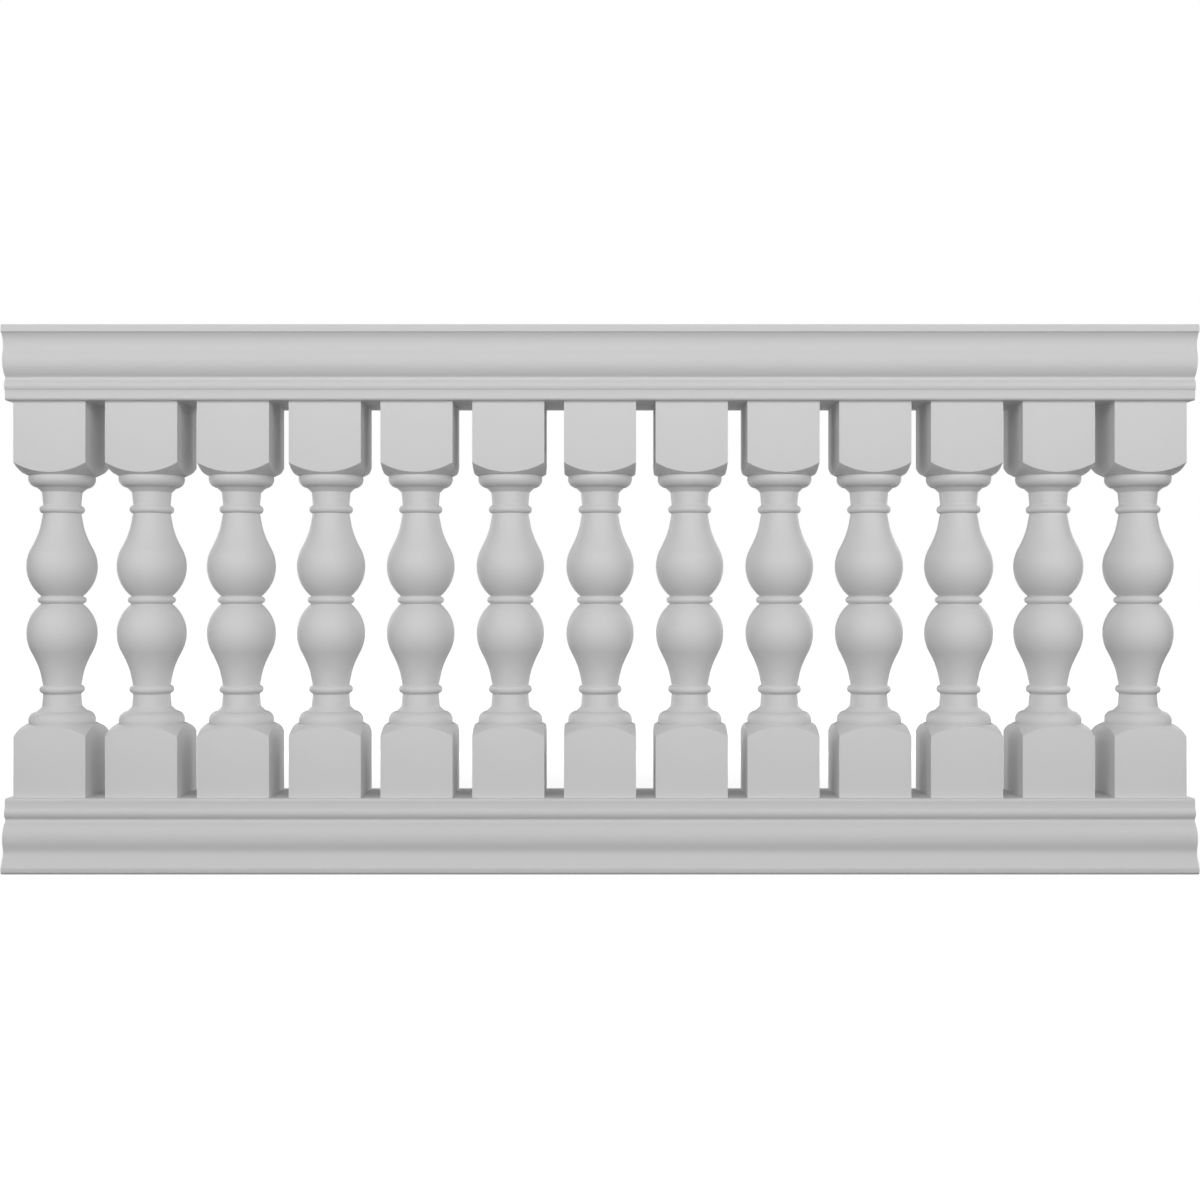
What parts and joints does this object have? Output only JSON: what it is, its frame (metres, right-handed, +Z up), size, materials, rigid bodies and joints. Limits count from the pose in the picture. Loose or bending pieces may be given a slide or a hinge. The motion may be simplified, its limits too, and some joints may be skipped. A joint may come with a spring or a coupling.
{
  "type": "fiberglass balustrade bay",
  "caption": "Straight balustrade bay with a moulded top rail and bottom rail and a row of turned double-vase balusters on square plinths.",
  "frame": {"origin": "middle of the bottom rail's underside, on the floor", "axes": "+X along the bay to the right seen from the front, +Y towards the back, +Z up"},
  "size_m": [1.989, 0.178, 0.914],
  "materials": {
    "gelcoat": "matte pale grey primed gelcoat",
    "end_plate": "matte pale grey laminate"
  },
  "bodies": {
    "root": {"top_rail": "gelcoat", "bottom_rail": "gelcoat", "top_rail_left_end_cap": "end_plate", "top_rail_right_end_cap": "end_plate", "bottom_rail_left_end_cap": "end_plate", "bottom_rail_right_end_cap": "end_plate", "baluster_01": "gelcoat", "baluster_02": "gelcoat", "baluster_03": "gelcoat", "baluster_04": "gelcoat", "baluster_05": "gelcoat", "baluster_06": "gelcoat", "baluster_07": "gelcoat", "baluster_08": "gelcoat", "baluster_09": "gelcoat", "baluster_10": "gelcoat", "baluster_11": "gelcoat", "baluster_12": "gelcoat", "baluster_13": "gelcoat"}
  },
  "joints": []
}
